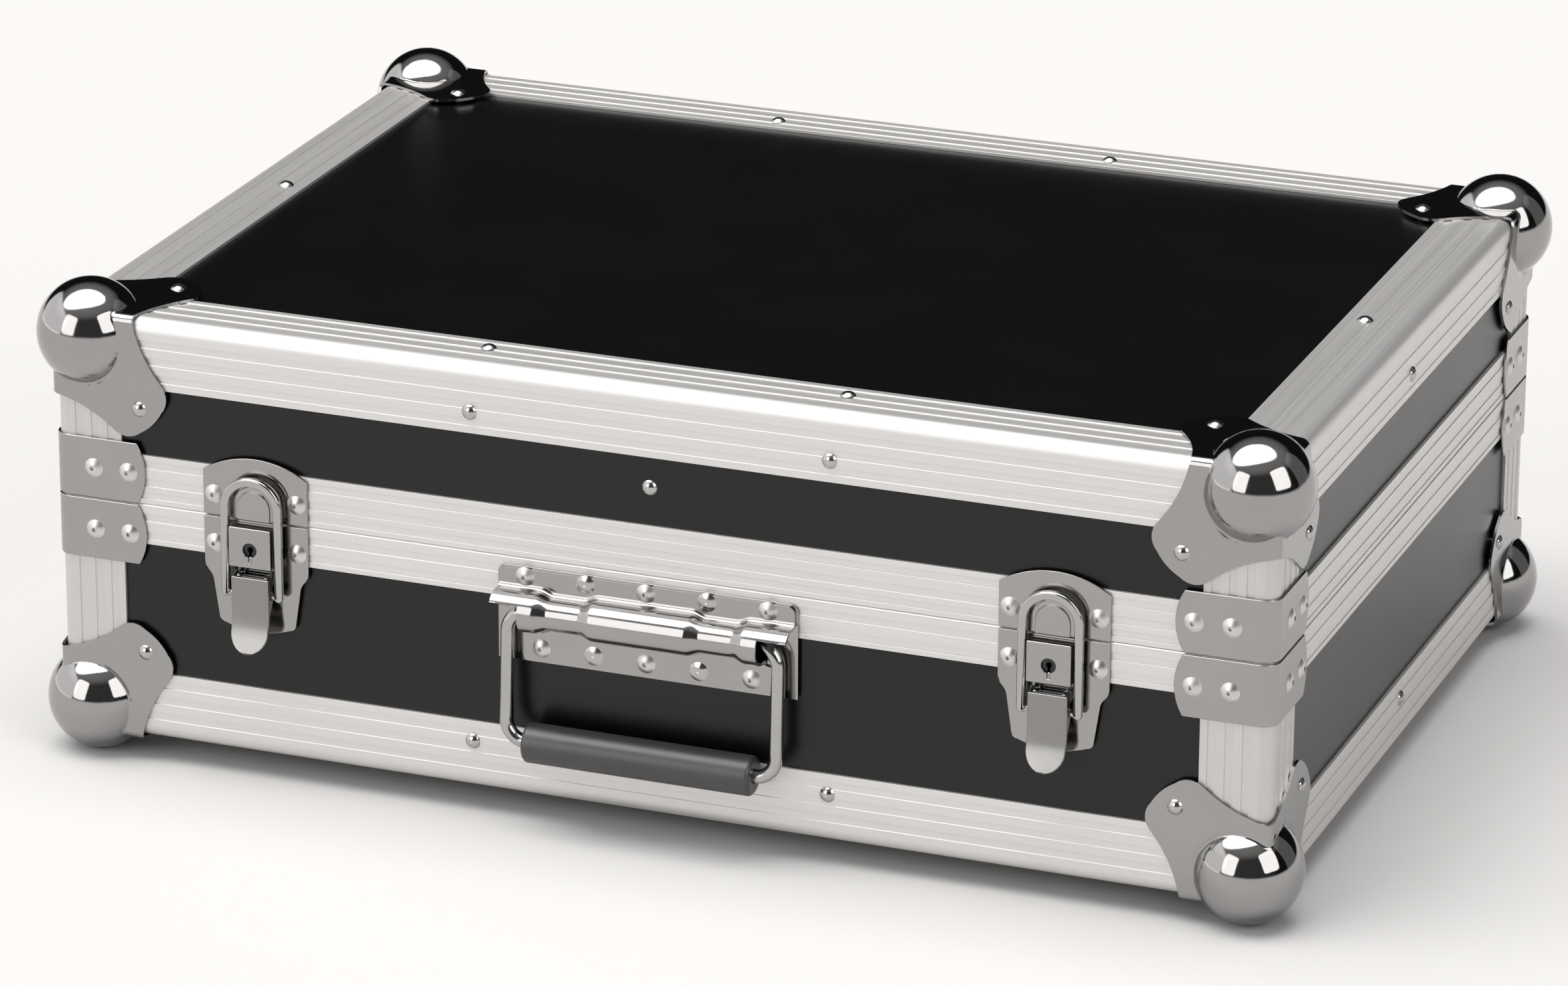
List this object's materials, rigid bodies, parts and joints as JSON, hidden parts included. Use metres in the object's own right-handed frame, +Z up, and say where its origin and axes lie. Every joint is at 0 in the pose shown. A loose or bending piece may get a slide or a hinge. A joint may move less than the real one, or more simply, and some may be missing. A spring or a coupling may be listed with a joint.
{
  "type": "flight case",
  "caption": "Black laminated flight case with aluminium edges, ball corners, a hinged lid, draw latches with key locks and a sprung drop handle.",
  "frame": {"origin": "on the floor, midway between the four balls the case stands on", "axes": "+X along the front to the viewer's right, +Y to the hinged back, +Z up"},
  "size_m": [0.552, 0.4022, 0.2078],
  "materials": {
    "laminate": "black fine-textured laminate on plywood",
    "aluminium": "satin, drawn along its length",
    "ball_chrome": "bright plated pressing",
    "plated_steel": "bright plated sheet",
    "bright_wire": "bright plated wire and strip",
    "rivet_steel": "plain bright rivet",
    "spring_steel": "plain drawn steel",
    "lock_core": "dark steel",
    "grip_rubber": "matt black moulded rubber",
    "lining_foam": "dark grey foam"
  },
  "bodies": {
    "base": {"base_back_angle": "aluminium", "base_back_panel": "laminate", "base_back_rim": "aluminium", "base_ball_corners": "ball_chrome", "base_bottom_panel": "laminate", "base_corner_braces": "plated_steel", "base_dome_rivets": "rivet_steel", "base_floor_pad": "lining_foam", "base_front_angle": "aluminium", "base_front_panel": "laminate", "base_front_rim": "aluminium", "base_left_angle": "aluminium", "base_left_panel": "laminate", "base_left_rim": "aluminium", "base_post_angles": "aluminium", "base_pulled_rivets": "rivet_steel", "base_right_angle": "aluminium", "base_right_panel": "laminate", "base_right_rim": "aluminium", "base_wall_pads": "lining_foam", "handle_back_plate": "plated_steel", "handle_cover": "plated_steel", "handle_springs": "spring_steel", "hinge_base_leaves": "plated_steel", "hinge_pins": "spring_steel", "latch_pins": "spring_steel", "latch_plates": "plated_steel", "lock_bodies": "plated_steel"},
    "lid": {"hinge_lid_leaves": "plated_steel", "latch_keepers": "plated_steel", "lid_back_angle": "aluminium", "lid_back_panel": "laminate", "lid_back_rim": "aluminium", "lid_ball_corners": "ball_chrome", "lid_corner_braces": "plated_steel", "lid_dome_rivets": "rivet_steel", "lid_front_angle": "aluminium", "lid_front_panel": "laminate", "lid_front_rim": "aluminium", "lid_left_angle": "aluminium", "lid_left_panel": "laminate", "lid_left_rim": "aluminium", "lid_post_angles": "aluminium", "lid_pulled_rivets": "rivet_steel", "lid_right_angle": "aluminium", "lid_right_panel": "laminate", "lid_right_rim": "aluminium", "lid_top_pad": "lining_foam", "lid_top_panel": "laminate", "lid_wall_pads": "lining_foam"},
    "handle": {"handle_bail": "bright_wire", "handle_grip": "grip_rubber"},
    "left_lever": {"latch_lever_left": "plated_steel"},
    "left_loop": {"latch_loop_left": "bright_wire"},
    "left_lock_core": {"lock_core_left": "lock_core"},
    "right_lever": {"latch_lever_right": "plated_steel"},
    "right_loop": {"latch_loop_right": "bright_wire"},
    "right_lock_core": {"lock_core_right": "lock_core"}
  },
  "joints": [
    {"name": "lid_hinge", "type": "hinge", "parent": "base", "child": "lid", "pos_m": [0, 0.1914, 0.11581], "axis": [-1, 0, 0], "range_deg": [0, 95]},
    {"name": "handle_swing", "type": "hinge", "parent": "base", "child": "handle", "pos_m": [0, -0.1922, 0.09531], "axis": [-1, 0, 0], "range_deg": [0, 90], "stiffness_Nm_per_rad": 0.08},
    {"name": "left_lever_turn", "type": "hinge", "parent": "base", "child": "left_lever", "pos_m": [-0.174, -0.1904, 0.09131], "axis": [-1, 0, 0], "range_deg": [0, 110]},
    {"name": "left_loop_turn", "type": "hinge", "parent": "left_lever", "child": "left_loop", "pos_m": [-0.174, -0.1914, 0.08481], "axis": [-1, 0, 0], "range_deg": [-132, 0]},
    {"name": "left_lock_turn", "type": "hinge", "parent": "base", "child": "left_lock_core", "pos_m": [-0.174, -0.191, 0.10501], "axis": [0, -1, 0], "range_deg": [0, 90]},
    {"name": "right_lever_turn", "type": "hinge", "parent": "base", "child": "right_lever", "pos_m": [0.174, -0.1904, 0.09131], "axis": [-1, 0, 0], "range_deg": [0, 110]},
    {"name": "right_loop_turn", "type": "hinge", "parent": "right_lever", "child": "right_loop", "pos_m": [0.174, -0.1914, 0.08481], "axis": [-1, 0, 0], "range_deg": [-132, 0]},
    {"name": "right_lock_turn", "type": "hinge", "parent": "base", "child": "right_lock_core", "pos_m": [0.174, -0.191, 0.10501], "axis": [0, -1, 0], "range_deg": [0, 90]}
  ],
  "couplings": [
    {"joint": "left_loop_turn", "follows": "left_lever_turn", "ratio": -1.2},
    {"joint": "right_loop_turn", "follows": "right_lever_turn", "ratio": -1.2}
  ]
}
